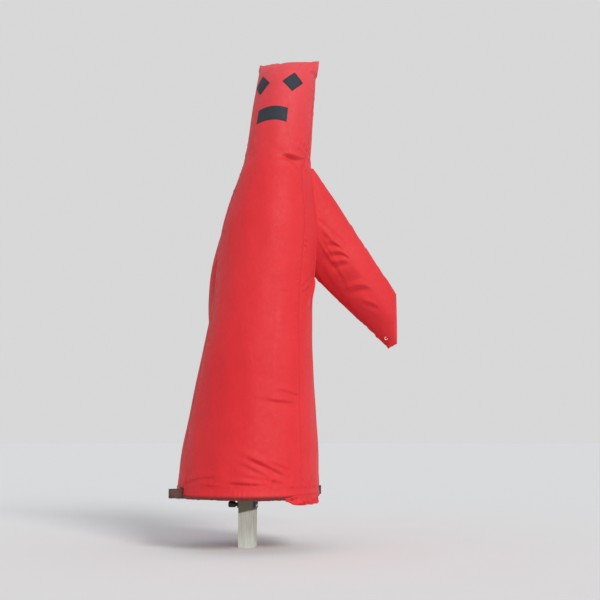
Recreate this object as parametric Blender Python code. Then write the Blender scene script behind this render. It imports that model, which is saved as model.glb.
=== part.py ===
"""A wind-filled figure sock on a timber post.

A square post carries a steel saddle with an upright spindle.  A timber crossbar turns on the
spindle and holds a tube hoop, and the sock's hem is sewn round the hoop.  The sock rises from the
hoop as a tapering body with a head and two sleeves for arms.

Metres, +Z up.  The origin is the middle of the post's foot.  The figure faces -Y, and its left
arm is at +X.
"""

import math

import bmesh
import bpy
from mathutils import Matrix, Vector

for old in list(bpy.data.objects):
    bpy.data.objects.remove(old, do_unlink=True)

# ---- driving dimensions ----------------------------------------------------------------------

GAP = 0.0003  # between pieces that touch

POST_SIDE = 0.070
POST_HEIGHT = 0.215
POST_EDGE = 0.002

PLATE = 0.005  # steel of the saddle bracket
SADDLE_DEPTH = 0.060
SADDLE_BOTTOM = 0.172
BOLT_Z = 0.186
BOLT_RADIUS = 0.005
BOLT_END = 0.074  # from the post's axis to the bolt's threaded end
KNOB_AXIS_X = -0.060
KNOB_LONG = 0.045
KNOB_RADIUS = 0.015
SIDE_WASHER = (0.0105, 0.0018)  # radius and thickness, under the knob
SPINDLE_RADIUS = 0.008
SPINDLE_TOP = 0.2855

WASHER_THICK = 0.0026
THRUST_RADIUS = 0.030
TOP_WASHER = (0.018, 0.002)  # radius and thickness
BUSH_RADIUS = 0.0115
BUSH_FLANGE = (0.0160, 0.002)
NUT = (0.0135, 0.0095)  # corner radius and height
BAR_WIDTH = 0.025
BAR_TALL = 0.040
BAR_HALF = 0.372
BAR_YAW = math.radians(40)  # the bar runs across the mouth at this angle from +X

HOOP_RADIUS = 0.305
HOOP_TUBE = 0.0125
HOOP_WALL = 0.002
HOOP_STEP = 10  # degrees between the hoop's cross-sections
TUBE_SIDES = 8
KEEPER_HALF = 0.035
KEEPER_THICK = 0.003
SCREW_REACH = 0.024  # from the hoop's middle line to a keeper screw
SCREW_RADIUS = 0.0020
SCREW_HEAD = (0.0043, 0.0024)
SCREW_LONG = 0.023
NOTCH_PLAY = 0.0018  # room beside the hoop, which curves inside its notch

CLOTH = 0.0015  # stands in for a cloth about 0.1 mm thick
COLUMN = 12  # degrees between the sock's columns of faces
SIDE_SEAM = 60  # degrees from the front to the side seams
SKIRT_BOTTOM = 0.2530
WAIST = (0.640, 0.760)
NECK = (1.815, 1.905)
CROWN = 2.190  # the head starts to close here
HEAD_TOP = 2.330
CROWN_EDGE = 0.004  # half the thickness of the closed top edge

# The sock's half width at a height.
GIRTH = (
    (0.250, 0.318), (0.420, 0.308), (0.730, 0.271), (1.100, 0.233), (1.450, 0.231),
    (1.620, 0.202), (1.750, 0.172), (1.830, 0.157), (1.950, 0.153), (2.190, 0.1455),
    (2.330, 0.1445),
)
# The wind bows the sock: its middle moves off the post's axis by a*rise + b*rise^2.
BOW_X = (0.040, 0.0135)
BOW_Y = (0.077, 0.0055)

SHOULDER = (0.065, 0.105)  # the middle between the arm roots, in plan
ROOT_REACH = 0.216  # from there to each arm's hinge line
ROOT_TOP = 1.787
ROOT_BOTTOM = 1.247
TOP_SLOPE = -1.515  # the sleeve's upper edge, height per metre outward
BOTTOM_SLOPE = -0.929
BAND_FROM = -0.045  # the soft band at the root, measured outward from the hinge line
SLEEVE_FROM = 0.095
SLEEVE_CUT = 0.364  # where the lower edge ends
SLEEVE_END = 0.406
# Half the sleeve's thickness at a distance from its hinge line.
THICKNESS = ((-0.06, 0.072), (0.0, 0.075), (0.10, 0.078), (0.23, 0.071), (0.364, 0.050))
SLEEVE_SIDES = 16
# For each arm: the direction of its root, the direction it leaves in, how it curls per metre, and
# how full the wind fills it.
ARMS = {"left": (20, 20, 0, 1.0), "right": (138, 154, -140, 0.8)}

EYE_HALF = (20.5, 0.050)  # degrees round the head, and height
EYES = {"left": (28, 2.181), "right": (-37, 2.178)}
MOUTH_ANGLE = (-34, 24)
MOUTH_Z = (1.981, 2.052)
MOUTH_DROOP = 0.010  # how far its two ends hang
PATCH_LIFT = 0.0007

FLAP_ANGLE = (44, 86)  # degrees from the front
FLAP_DROP = 0.024

SWIVEL_Z = POST_HEIGHT + GAP + PLATE
BAR_BOTTOM = SWIVEL_Z + WASHER_THICK + 2 * GAP
BAR_TOP = BAR_BOTTOM + BAR_TALL
HOOP_Z = BAR_BOTTOM + HOOP_TUBE
SLEEVE_IN = HOOP_TUBE + 0.0006
SLEEVE_OUT = SLEEVE_IN + 0.0026

# ---- materials -------------------------------------------------------------------------------


def material(name, color, roughness, metallic=0.0):
    """A Principled material of one colour."""
    made = bpy.data.materials.new(name)
    made.use_nodes = True
    shader = made.node_tree.nodes["Principled BSDF"]
    shader.inputs["Base Color"].default_value = (*color, 1.0)
    shader.inputs["Roughness"].default_value = roughness
    shader.inputs["Metallic"].default_value = metallic
    return made


RED = material("red_nylon", (0.80, 0.045, 0.050), 0.55)
CHARCOAL = material("charcoal_nylon", (0.030, 0.035, 0.045), 0.70)
POST_TIMBER = material("pale_timber", (0.62, 0.62, 0.50), 0.80)
BAR_TIMBER = material("brown_timber", (0.22, 0.10, 0.07), 0.75)
BLACK = material("black_steel", (0.020, 0.020, 0.020), 0.50, 0.6)
ZINC = material("zinc_steel", (0.60, 0.60, 0.58), 0.35, 1.0)
PIPE = material("brown_pipe", (0.20, 0.09, 0.07), 0.45)
PLASTIC = material("black_plastic", (0.015, 0.015, 0.015), 0.50)
NYLON = material("white_nylon", (0.75, 0.75, 0.70), 0.50)

# ---- mesh helpers ----------------------------------------------------------------------------


def finish(name, made, mat, smooth=False):
    """Turns a bmesh into an object of that name with its faces pointing out."""
    bmesh.ops.recalc_face_normals(made, faces=made.faces)
    mesh = bpy.data.meshes.new(name)
    made.to_mesh(mesh)
    made.free()
    mesh.materials.append(mat)
    if smooth:
        mesh.shade_smooth()
        mesh.set_sharp_from_angle(angle=math.radians(40))
    piece = bpy.data.objects.new(name, mesh)
    bpy.context.scene.collection.objects.link(piece)
    return piece


def grid_faces(made, rows, wraps):
    """Faces between rows of vertices that all have the same length."""
    count = len(rows[0])
    for low, high in zip(rows, rows[1:]):
        for i in range(count if wraps else count - 1):
            j = (i + 1) % count
            made.faces.new((low[i], low[j], high[j], high[i]))


def shell(name, outer, inner, mat, wraps=False, capped=False):
    """A closed skin between two grids of points; capped closes it over the last row."""
    made = bmesh.new()
    skins = []
    for grid in (outer, inner):
        skins.append([[made.verts.new(point) for point in row] for row in grid])
    for rows in skins:
        grid_faces(made, rows, wraps)
    grid_faces(made, [skins[0][0], skins[1][0]], wraps)
    if capped:
        made.faces.new(skins[0][-1])
        made.faces.new(skins[1][-1])
    else:
        grid_faces(made, [skins[0][-1], skins[1][-1]], wraps)
    if not wraps:
        for end in (0, -1):
            edges = [[row[end] for row in rows] for rows in skins]
            grid_faces(made, edges, False)
    return finish(name, made, mat, smooth=True)


def solid_loft(name, sections, mat):
    """A solid through rings of points, closed at both ends."""
    made = bmesh.new()
    rows = [[made.verts.new(point) for point in ring] for ring in sections]
    grid_faces(made, rows, True)
    made.faces.new(rows[0])
    made.faces.new(rows[-1])
    return finish(name, made, mat, smooth=True)


def circle(middle, across, up, radius, sides):
    """Points of a circle in the plane of two unit vectors."""
    ring = []
    for i in range(sides):
        turn = 2 * math.pi * i / sides
        ring.append(middle + across * radius * math.cos(turn) + up * radius * math.sin(turn))
    return ring


def turned(name, profile, axis, start, mat, sides=20):
    """A solid of revolution: profile holds (distance along axis, radius) from end to end."""
    axis = Vector(axis).normalized()
    across = axis.orthogonal().normalized()
    up = axis.cross(across)
    sections = []
    for along, radius in profile:
        sections.append(circle(Vector(start) + axis * along, across, up, radius, sides))
    return solid_loft(name, sections, mat)


def block(name, low, high, mat, bevel=0.0, turn=0.0):
    """A box between two corners, turned about the post's axis."""
    made = bmesh.new()
    bmesh.ops.create_cube(made, size=1.0)
    low, high = Vector(low), Vector(high)
    for vertex in made.verts:
        vertex.co = Vector((low[i] + (vertex.co[i] + 0.5) * (high[i] - low[i]) for i in range(3)))
    if bevel:
        bmesh.ops.bevel(made, geom=made.edges[:], offset=bevel, segments=1, affect="EDGES")
    made.transform(Matrix.Rotation(turn, 4, "Z"))
    return finish(name, made, mat)


def cut(piece, *cutters):
    """Takes the cutters' shapes out of a piece, and removes the cutters."""
    for cutter in cutters:
        cutter.hide_render = True
        cutter.display_type = "WIRE"
        tool = piece.modifiers.new("cut", "BOOLEAN")
        tool.operation = "DIFFERENCE"
        tool.solver = "EXACT"
        tool.object = cutter


def bore(axis, start, length, radius, sides=20):
    """A round cutter."""
    return turned("cutter", [(0, radius), (length, radius)], axis, start, ZINC, sides)


# ---- joints ----------------------------------------------------------------------------------


def pivot(name, place, parent=None):
    """An empty on a joint's axis."""
    made = bpy.data.objects.new(name, None)
    made.location = place
    bpy.context.scene.collection.objects.link(made)
    attach(made, parent)
    return made


def attach(piece, parent):
    """Makes a piece follow a pivot without moving it."""
    if parent is not None:
        world = parent.location
        piece.parent = parent
        piece.matrix_parent_inverse = Matrix.Translation(-world)
    return piece


# ---- the post and its saddle -----------------------------------------------------------------


def make_post():
    half = POST_SIDE / 2
    post = block("post", (-half, -half, 0), (half, half, POST_HEIGHT), POST_TIMBER, POST_EDGE)
    cut(post, bore((1, 0, 0), (-0.06, 0, BOLT_Z), 0.12, BOLT_RADIUS + GAP))
    return post


def make_saddle():
    """The folded plate over the post's top."""
    inside = POST_SIDE / 2 + GAP
    outside = inside + PLATE
    under = POST_HEIGHT + GAP
    outline = [
        (-outside, SADDLE_BOTTOM), (-inside, SADDLE_BOTTOM), (-inside, under), (inside, under),
        (inside, SADDLE_BOTTOM), (outside, SADDLE_BOTTOM), (outside, SWIVEL_Z),
        (-outside, SWIVEL_Z),
    ]
    made = bmesh.new()
    ends = []
    for y in (-SADDLE_DEPTH / 2, SADDLE_DEPTH / 2):
        ends.append([made.verts.new((x, y, z)) for x, z in outline])
    grid_faces(made, ends, True)
    for end in ends:
        made.faces.new(end)
    saddle = finish("saddle_bracket", made, BLACK)
    cut(
        saddle,
        bore((1, 0, 0), (-0.06, 0, BOLT_Z), 0.12, BOLT_RADIUS + GAP),
        bore((0, 0, 1), (0, 0, under - 0.002), PLATE + 0.004, SPINDLE_RADIUS + GAP),
    )
    return saddle


def make_spindle():
    """The upright pin, welded into the saddle's web."""
    low = POST_HEIGHT + GAP
    tall = SPINDLE_TOP - low
    profile = [(0, SPINDLE_RADIUS), (tall - 0.001, SPINDLE_RADIUS), (tall, SPINDLE_RADIUS - 0.001)]
    return turned("spindle", profile, (0, 0, 1), (0, 0, low), ZINC)


def make_clamp_bolt():
    """The coach bolt that clamps the saddle to the post, its head on the +X side."""
    shank = BOLT_END + POST_SIDE / 2 + 2 * GAP + PLATE
    profile = [
        (0, BOLT_RADIUS), (shank, BOLT_RADIUS), (shank, 0.0105), (shank + 0.003, 0.0100),
        (shank + 0.0055, 0.0060),
    ]
    return turned("clamp_bolt", profile, (1, 0, 0), (-BOLT_END, 0, BOLT_Z), ZINC)


def make_knob_washer():
    start = POST_SIDE / 2 + 2 * GAP + PLATE
    radius, thick = SIDE_WASHER
    profile = [(0, radius), (thick, radius)]
    washer = turned("knob_washer", profile, (-1, 0, 0), (-start, 0, BOLT_Z), ZINC)
    cut(washer, bore((1, 0, 0), (-0.06, 0, BOLT_Z), 0.03, BOLT_RADIUS + GAP))
    return washer


def make_knob():
    """The lobed hand knob on the bolt's end."""
    start = -(POST_SIDE / 2 + 3 * GAP + PLATE + SIDE_WASHER[1])
    hub, lobes, sides = 0.014, 5, 30
    sections = []
    for along, radius, depth in (
        (0, 0.0085, 0), (hub, 0.0085, 0), (hub + 0.0015, KNOB_RADIUS - 0.0015, 0.0012),
        (hub + 0.005, KNOB_RADIUS, 0.0016), (KNOB_LONG - 0.005, KNOB_RADIUS, 0.0016),
        (KNOB_LONG, KNOB_RADIUS - 0.0025, 0.0010),
    ):
        ring = []
        for i in range(sides):
            turn = 2 * math.pi * i / sides
            reach = radius + depth * math.cos(lobes * turn) - depth
            ring.append((start - along, reach * math.sin(turn), BOLT_Z + reach * math.cos(turn)))
        sections.append(ring)
    knob = solid_loft("clamp_knob", sections, PLASTIC)
    cut(knob, bore((1, 0, 0), (-BOLT_END - 0.0015, 0, BOLT_Z), 0.04, BOLT_RADIUS + GAP))
    return knob


# ---- what turns on the spindle ---------------------------------------------------------------


def washer_on_spindle(name, low, thick, radius, mat):
    washer = turned(name, [(0, radius), (thick, radius)], (0, 0, 1), (0, 0, low), mat)
    cut(washer, bore((0, 0, 1), (0, 0, low - 0.002), thick + 0.004, SPINDLE_RADIUS + GAP))
    return washer


def make_bush():
    """The flanged bush in the bar's middle."""
    flange, thick = BUSH_FLANGE
    under = BAR_TALL + GAP
    profile = [(0, BUSH_RADIUS), (under, BUSH_RADIUS), (under, flange), (under + thick, flange)]
    bush = turned("swivel_bush", profile, (0, 0, 1), (0, 0, BAR_BOTTOM), NYLON)
    cut(bush, bore((0, 0, 1), (0, 0, BAR_BOTTOM - 0.002), 0.05, SPINDLE_RADIUS + GAP))
    return bush


def make_nut(low):
    """The hexagonal lock nut on top of the spindle."""
    radius, tall = NUT
    nut = turned("lock_nut", [(0, radius), (tall, radius)], (0, 0, 1), (0, 0, low), ZINC, 6)
    cut(nut, bore((0, 0, 1), (0, 0, low - 0.002), 0.02, SPINDLE_RADIUS + GAP))
    return nut


def along_bar(reach, z):
    """A point on the bar's middle line."""
    return Vector((reach * math.cos(BAR_YAW), reach * math.sin(BAR_YAW), z))


def make_crossbar():
    half = BAR_WIDTH / 2
    low = (-BAR_HALF, -half, BAR_BOTTOM)
    bar = block("crossbar", low, (BAR_HALF, half, BAR_TOP), BAR_TIMBER, 0.001, BAR_YAW)
    cut(bar, bore((0, 0, 1), (0, 0, BAR_BOTTOM - 0.01), 0.08, BUSH_RADIUS + GAP))
    notch = HOOP_TUBE + NOTCH_PLAY
    for side in (-1, 1):
        middle = side * HOOP_RADIUS
        low = (middle - notch, -half - 0.01, BAR_BOTTOM - 0.01)
        high = (middle + notch, half + 0.01, HOOP_Z + HOOP_TUBE + GAP)
        cut(bar, block("cutter", low, high, ZINC, 0, BAR_YAW))
        for reach in (-SCREW_REACH, SCREW_REACH):
            start = along_bar(middle + reach, BAR_BOTTOM - 0.01)
            cut(bar, bore((0, 0, 1), start, 0.032, SCREW_RADIUS + GAP, 12))
    return bar


def make_keeper(name, side):
    """The plate that holds the hoop up in its notch."""
    middle = side * HOOP_RADIUS
    top = BAR_BOTTOM - GAP
    low = (middle - KEEPER_HALF, -BAR_WIDTH / 2 + 0.001, top - KEEPER_THICK)
    high = (middle + KEEPER_HALF, BAR_WIDTH / 2 - 0.001, top)
    keeper = block(name, low, high, ZINC, 0.0005, BAR_YAW)
    for reach in (-SCREW_REACH, SCREW_REACH):
        start = along_bar(middle + reach, top - 0.01)
        cut(keeper, bore((0, 0, 1), start, 0.02, SCREW_RADIUS + GAP, 12))
    return keeper


def make_screw(name, reach):
    """A round-headed wood screw, up through a keeper."""
    top = BAR_BOTTOM - 2 * GAP - KEEPER_THICK
    wide, tall = SCREW_HEAD
    profile = [
        (0, 0.0025), (tall, wide), (tall, SCREW_RADIUS), (SCREW_LONG - 0.003, SCREW_RADIUS),
        (SCREW_LONG, 0.0006),
    ]
    return turned(name, profile, (0, 0, 1), along_bar(reach, top - tall), ZINC, 12)


def hoop_point(angle):
    """A point on the hoop's middle line, which is a polygon of HOOP_STEP sides."""
    first = math.floor(angle / HOOP_STEP + 1e-9) * HOOP_STEP
    share = (angle - first) / HOOP_STEP
    ends = []
    for corner in (first, first + HOOP_STEP):
        turn = math.radians(corner)
        ends.append(Vector((math.cos(turn), math.sin(turn), 0)) * HOOP_RADIUS)
    return ends[0].lerp(ends[1], share) + Vector((0, 0, HOOP_Z))


def hoop_rings(start, end, radius):
    """Cross-sections along the hoop's line from one angle to another."""
    angles = [start]
    corner = (math.floor(start / HOOP_STEP + 1e-6) + 1) * HOOP_STEP
    while corner < end - 1e-6:
        angles.append(corner)
        corner += HOOP_STEP
    angles.append(end)
    rings = []
    for angle in angles:
        middle = hoop_point(angle)
        turn = math.radians(angle)
        outward = Vector((math.cos(turn), math.sin(turn), 0))
        rings.append(circle(middle, outward, Vector((0, 0, 1)), radius, TUBE_SIDES))
    return rings


def make_hoop():
    """The bent tube.  Its ends meet behind the figure, over a spigot."""
    gap = math.degrees(GAP / HOOP_RADIUS)
    start, end = 90 + gap, 450 - gap
    outer = hoop_rings(start, end, HOOP_TUBE)
    inner = hoop_rings(start, end, HOOP_TUBE - HOOP_WALL)
    return shell("hoop", outer, inner, PIPE, wraps=True)


def make_spigot():
    return solid_loft("hoop_spigot", hoop_rings(85, 95, HOOP_TUBE - HOOP_WALL - 0.0006), ZINC)


def make_hem(name, start):
    """Half of the sock's hem, a sleeve round the hoop between the bar's two ends."""
    clear = math.degrees((BAR_WIDTH / 2 + 0.006) / HOOP_RADIUS)
    outer = hoop_rings(start + clear, start + 180 - clear, SLEEVE_OUT)
    inner = hoop_rings(start + clear, start + 180 - clear, SLEEVE_IN)
    return shell(name, outer, inner, RED, wraps=True)


def flap_line():
    """The hem flap's two upper corners and the direction out from the mouth."""
    reach = HOOP_RADIUS + 0.006
    ends = []
    for angle in FLAP_ANGLE:
        turn = math.radians(angle - 90)
        ends.append(Vector((math.cos(turn), math.sin(turn), 0)) * reach)
    middle = math.radians(sum(FLAP_ANGLE) / 2 - 90)
    return ends, Vector((math.cos(middle), math.sin(middle), 0))


def make_flap():
    """The loose tail of the hem, flat, and hung under the sleeve by its upper edge."""
    (start, end), outward = flap_line()
    top = HOOP_Z - SLEEVE_OUT - 0.0015
    columns = 8
    grids = []
    for side in (CLOTH / 2, -CLOTH / 2):
        rows = []
        for level in (0.0, 1.0):
            row = []
            for i in range(columns + 1):
                share = i / columns
                drop = level * FLAP_DROP * (0.45 + 0.55 * math.sin(math.pi * share) ** 0.5)
                row.append(start.lerp(end, share) + outward * side + Vector((0, 0, top - drop)))
            rows.append(row)
        grids.append(rows)
    return shell("hem_flap", grids[0], grids[1], RED)


# ---- the sock --------------------------------------------------------------------------------


def smooth_through(points, x):
    """A smooth curve through (x, y) points, held level beyond them."""
    x = min(max(x, points[0][0]), points[-1][0])
    slopes = []
    for i in range(len(points)):
        low, high = points[max(i - 1, 0)], points[min(i + 1, len(points) - 1)]
        slopes.append((high[1] - low[1]) / (high[0] - low[0]))
    for i in range(len(points) - 1):
        (x0, y0), (x1, y1) = points[i], points[i + 1]
        if x <= x1:
            break
    span = x1 - x0
    t = (x - x0) / span
    return (
        (2 * t**3 - 3 * t**2 + 1) * y0 + (t**3 - 2 * t**2 + t) * span * slopes[i]
        + (3 * t**2 - 2 * t**3) * y1 + (t**3 - t**2) * span * slopes[i + 1]
    )


def bow(z):
    """The middle of the sock at a height."""
    rise = max(z - HOOP_Z, 0.0)
    return BOW_X[0] * rise + BOW_X[1] * rise**2, BOW_Y[0] * rise + BOW_Y[1] * rise**2


def sock_point(angle, z, inset=0.0):
    """A point on the sock: angle 0 faces the front, and 90 faces +X.

    An inset gives the skin's inner side, which narrows to a slit at the closed crown.
    """
    wide = smooth_through(GIRTH, z)
    dome = max(0.0, (z - CROWN) / (HEAD_TOP - CROWN))
    deep = max(wide * math.sqrt(max(1 - dome**2, 0)), CROWN_EDGE)
    deep = max(deep - inset, GAP / 2)
    if inset and dome >= 1:
        deep = GAP / 2
    x, y = bow(z)
    turn = math.radians(angle)
    return Vector((x + (wide - inset) * math.sin(turn), y - deep * math.cos(turn), z))


def levels(low, high, count):
    """Evenly spaced values, both ends among them."""
    return [low + (high - low) * i / count for i in range(count + 1)]


def columns_between(start, end):
    """Angles from one seam to the next, a hair inside each so that the panels don't touch."""
    angles = list(range(start, end + 1, COLUMN))
    angles[0] += 0.08
    angles[-1] -= 0.08
    return angles


def panel(name, heights, start, end):
    """A cloth panel of the sock between two seams."""
    angles = columns_between(start, end)
    grids = []
    for inset in (0.0, CLOTH):
        grids.append([[sock_point(angle, z, inset) for angle in angles] for z in heights])
    return shell(name, grids[0], grids[1], RED)


def band(name, low, high):
    """A ring of the sock that bends when a joint moves."""
    angles = range(0, 360, COLUMN)
    grids = []
    for inset in (0.0, CLOTH):
        rows = []
        for z in levels(low + 0.0005, high - 0.0005, 3):
            rows.append([sock_point(angle, z, inset) for angle in angles])
        grids.append(rows)
    return shell(name, grids[0], grids[1], RED, wraps=True)


def make_skirt():
    heights = levels(SKIRT_BOTTOM, WAIST[0], 4)
    front = panel("skirt_front", heights, -SIDE_SEAM, SIDE_SEAM)
    back = panel("skirt_back", heights, SIDE_SEAM, 360 - SIDE_SEAM)
    slot = BAR_WIDTH / 2 + 0.003
    for piece, side in ((front, -1), (back, 1)):
        near, far = sorted((side * (HOOP_RADIUS - 0.03), side * (HOOP_RADIUS + 0.08)))
        low, high = (near, -slot, BAR_BOTTOM), (far, slot, BAR_TOP + 0.003)
        cut(piece, block("cutter", low, high, ZINC, 0, BAR_YAW))
    return front, back


# ---- the arms --------------------------------------------------------------------------------


def arm_root(side):
    """The place of an arm's hinge line, in plan."""
    turn = math.radians(ARMS[side][0])
    return (
        SHOULDER[0] + ROOT_REACH * math.cos(turn),
        SHOULDER[1] + ROOT_REACH * math.sin(turn),
    )


def arm_place(side, reach):
    """The arm's middle line in plan at a distance from its hinge, and the direction across it."""
    _, leaves, curl, _ = ARMS[side]
    x, y = arm_root(side)
    start = math.radians(leaves)
    heading = start + math.radians(curl) * reach
    if curl:
        rate = math.radians(curl)
        x += (math.sin(heading) - math.sin(start)) / rate
        y -= (math.cos(heading) - math.cos(start)) / rate
    else:
        x += reach * math.cos(start)
        y += reach * math.sin(start)
    return Vector((x, y, 0)), Vector((-math.sin(heading), math.cos(heading), 0))


def arm_ring(side, reach, grow=0.0):
    """The sleeve's cross-section, an ellipse in an upright plane."""
    top = ROOT_TOP + TOP_SLOPE * max(reach, 0.0)
    bottom = ROOT_BOTTOM + BOTTOM_SLOPE * min(max(reach, 0.0), SLEEVE_CUT)
    half = ARMS[side][3] * smooth_through(THICKNESS, reach)
    closing = max(0.0, (reach - SLEEVE_CUT) / (SLEEVE_END - SLEEVE_CUT))
    bottom += 0.020 * closing
    half *= 1 - 0.72 * closing**2
    middle, across = arm_place(side, reach)
    ring = []
    for i in range(SLEEVE_SIDES):
        turn = 2 * math.pi * i / SLEEVE_SIDES
        z = (top + bottom) / 2 + ((top - bottom) / 2 + grow) * math.sin(turn)
        ring.append(middle + across * (half + grow) * math.cos(turn) + Vector((0, 0, z)))
    return ring


def make_shoulder_band(side):
    reaches = levels(BAND_FROM, SLEEVE_FROM - 0.0005, 4)
    outer = [arm_ring(side, reach) for reach in reaches]
    inner = [arm_ring(side, reach, -CLOTH) for reach in reaches]
    return shell(f"shoulder_band_{side}", outer, inner, RED, wraps=True)


def make_sleeve(side):
    """The arm itself, open at the shoulder and closed at the hand."""
    reaches = levels(SLEEVE_FROM, SLEEVE_CUT, 5) + [0.388, SLEEVE_END]
    outer = [arm_ring(side, reach) for reach in reaches]
    inner = [arm_ring(side, reach, -CLOTH) for reach in reaches[:-1]]
    inner.append(arm_ring(side, SLEEVE_END - CLOTH, -CLOTH))
    return shell(f"sleeve_{side}", outer, inner, RED, wraps=True, capped=True)


def make_torso():
    heights = levels(WAIST[1], NECK[0], 9)
    front = panel("torso_front", heights, -SIDE_SEAM, SIDE_SEAM)
    back = panel("torso_back", heights, SIDE_SEAM, 360 - SIDE_SEAM)
    for side in ARMS:
        sections = [arm_ring(side, reach, 0.0015) for reach in levels(-0.07, 0.05, 4)]
        cut(back, solid_loft("cutter", sections, ZINC))
    return front, back


# ---- the face --------------------------------------------------------------------------------


def patch(name, place, count=4):
    """A sewn-on patch: place(s, t) gives (angle, height) for s and t from -1 to 1."""
    grids = []
    for lift in (-PATCH_LIFT - 0.001, -PATCH_LIFT):
        rows = []
        for t in levels(-1, 1, count):
            rows.append([sock_point(*place(s, t), inset=lift) for s in levels(-1, 1, count)])
        grids.append(rows)
    return shell(name, grids[0], grids[1], CHARCOAL)


def make_eye(side):
    angle, z = EYES[side]

    def diamond(s, t):
        return angle + EYE_HALF[0] * (s - t) / 2, z + EYE_HALF[1] * (s + t) / 2

    return patch(f"eye_patch_{side}", diamond)


def make_mouth():
    def frown(s, t):
        right, left = MOUTH_ANGLE
        low, high = MOUTH_Z
        angle = right + (left - right) * (s + 1) / 2
        return angle, low + (high - low) * (t + 1) / 2 - MOUTH_DROOP * s * s

    return patch("mouth_patch", frown, 6)


# ---- the assembly ----------------------------------------------------------------------------


def build():
    make_post()
    make_saddle()
    make_spindle()
    make_clamp_bolt()
    make_knob_washer()
    knob_axis = pivot("knob_axis", (KNOB_AXIS_X, 0, BOLT_Z))
    attach(make_knob(), knob_axis)

    swivel = pivot("swivel_axis", (0, 0, SWIVEL_Z))
    bush_top = BAR_TOP + GAP + BUSH_FLANGE[1]
    top_radius, top_thick = TOP_WASHER
    turning = [
        washer_on_spindle("thrust_washer", SWIVEL_Z + GAP, WASHER_THICK, THRUST_RADIUS, NYLON),
        make_crossbar(),
        make_bush(),
        washer_on_spindle("top_washer", bush_top + GAP, top_thick, top_radius, ZINC),
        make_nut(bush_top + 2 * GAP + top_thick),
        make_hoop(),
        make_spigot(),
        make_hem("hem_back", 40),
        make_hem("hem_front", 220),
        *make_skirt(),
        band("waist_band", *WAIST),
    ]
    for end, side in (("left", -1), ("right", 1)):
        turning.append(make_keeper(f"keeper_{end}", side))
        for place, reach in (("inner", -SCREW_REACH), ("outer", SCREW_REACH)):
            name = f"keeper_screw_{end}_{place}"
            turning.append(make_screw(name, side * (HOOP_RADIUS + reach)))
    for piece in turning:
        attach(piece, swivel)
    (start, end), _ = flap_line()
    flap_z = HOOP_Z - SLEEVE_OUT
    flap_axis = pivot("flap_axis", (start + end) / 2 + Vector((0, 0, flap_z)), swivel)
    attach(make_flap(), flap_axis)

    waist_z = sum(WAIST) / 2
    waist = pivot("waist_axis", (*bow(waist_z), waist_z), swivel)
    for piece in (*make_torso(), band("neck_band", *NECK)):
        attach(piece, waist)
    neck_z = sum(NECK) / 2
    neck = pivot("neck_axis", (*bow(neck_z), neck_z), waist)
    head_heights = levels(NECK[1], CROWN, 3) + [2.240, 2.280, 2.308, 2.322, HEAD_TOP]
    head = [
        panel("head_front", head_heights, -90, 90),
        panel("head_back", head_heights, 90, 270),
        make_eye("left"),
        make_eye("right"),
        make_mouth(),
    ]
    for piece in head:
        attach(piece, neck)
    for side in ARMS:
        attach(make_shoulder_band(side), waist)
        axis = pivot(f"arm_{side}_axis", (*arm_root(side), (ROOT_TOP + ROOT_BOTTOM) / 2), waist)
        attach(make_sleeve(side), axis)


build()
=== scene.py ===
"""The looks of a wind-filled figure sock on a timber post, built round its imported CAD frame.

Metres, +Z up, in the frame's own axes: the figure faces -Y and its left arm is at +X.  Angles round
the sock are measured from the front, and +90 degrees faces +X.
"""

import math
from contextlib import contextmanager

import bmesh
import bpy
import numpy as np
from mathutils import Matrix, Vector


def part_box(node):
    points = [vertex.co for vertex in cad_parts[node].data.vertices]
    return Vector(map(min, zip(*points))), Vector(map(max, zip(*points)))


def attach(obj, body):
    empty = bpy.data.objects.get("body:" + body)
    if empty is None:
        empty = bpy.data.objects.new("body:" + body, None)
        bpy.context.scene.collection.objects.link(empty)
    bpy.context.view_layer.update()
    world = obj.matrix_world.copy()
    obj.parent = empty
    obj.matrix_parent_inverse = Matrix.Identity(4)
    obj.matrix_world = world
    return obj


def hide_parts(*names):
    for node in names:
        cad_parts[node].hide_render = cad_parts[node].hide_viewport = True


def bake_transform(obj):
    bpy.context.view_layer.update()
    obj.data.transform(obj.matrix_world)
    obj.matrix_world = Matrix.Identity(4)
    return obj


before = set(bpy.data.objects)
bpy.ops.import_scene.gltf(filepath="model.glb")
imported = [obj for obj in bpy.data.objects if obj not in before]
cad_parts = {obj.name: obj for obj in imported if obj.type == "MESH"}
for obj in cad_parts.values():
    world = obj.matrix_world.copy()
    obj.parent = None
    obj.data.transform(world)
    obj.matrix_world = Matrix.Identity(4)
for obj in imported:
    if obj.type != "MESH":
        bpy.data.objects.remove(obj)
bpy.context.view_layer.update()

# ---- sizes that the CAD settles ----

HOOP_BOTTOM, HOOP_TOP = (corner[2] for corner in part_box("hoop"))
HOOP_TUBE = 0.0125
HOOP_RADIUS = 0.305
HOOP_Z = (HOOP_BOTTOM + HOOP_TOP) / 2
BAR_YAW = 40  # degrees
BAR_WIDTH = 0.025
CROWN = 2.190
HEAD_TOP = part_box("head_front")[1][2]
CROWN_EDGE = 0.004
GIRTH = (  # height, radius
    (0.250, 0.318), (0.420, 0.308), (0.730, 0.271), (1.100, 0.233), (1.450, 0.231),
    (1.620, 0.202), (1.750, 0.172), (1.830, 0.157), (1.950, 0.153), (2.190, 0.1455),
    (2.330, 0.1445),
)
BOW_X = (0.040, 0.0135)  # the sock leans and bends: a slope, and its growth with height
BOW_Y = (0.077, 0.0055)
SIDE_SEAM = math.radians(60)
SHOULDER = (0.065, 0.105)
ROOT_REACH = 0.216
ROOT_TOP = 1.787
ROOT_BOTTOM = 1.247
TOP_SLOPE = -1.515
BOTTOM_SLOPE = -0.929
SLEEVE_FROM = 0.095
SLEEVE_CUT = 0.364
SLEEVE_END = 0.406
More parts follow.
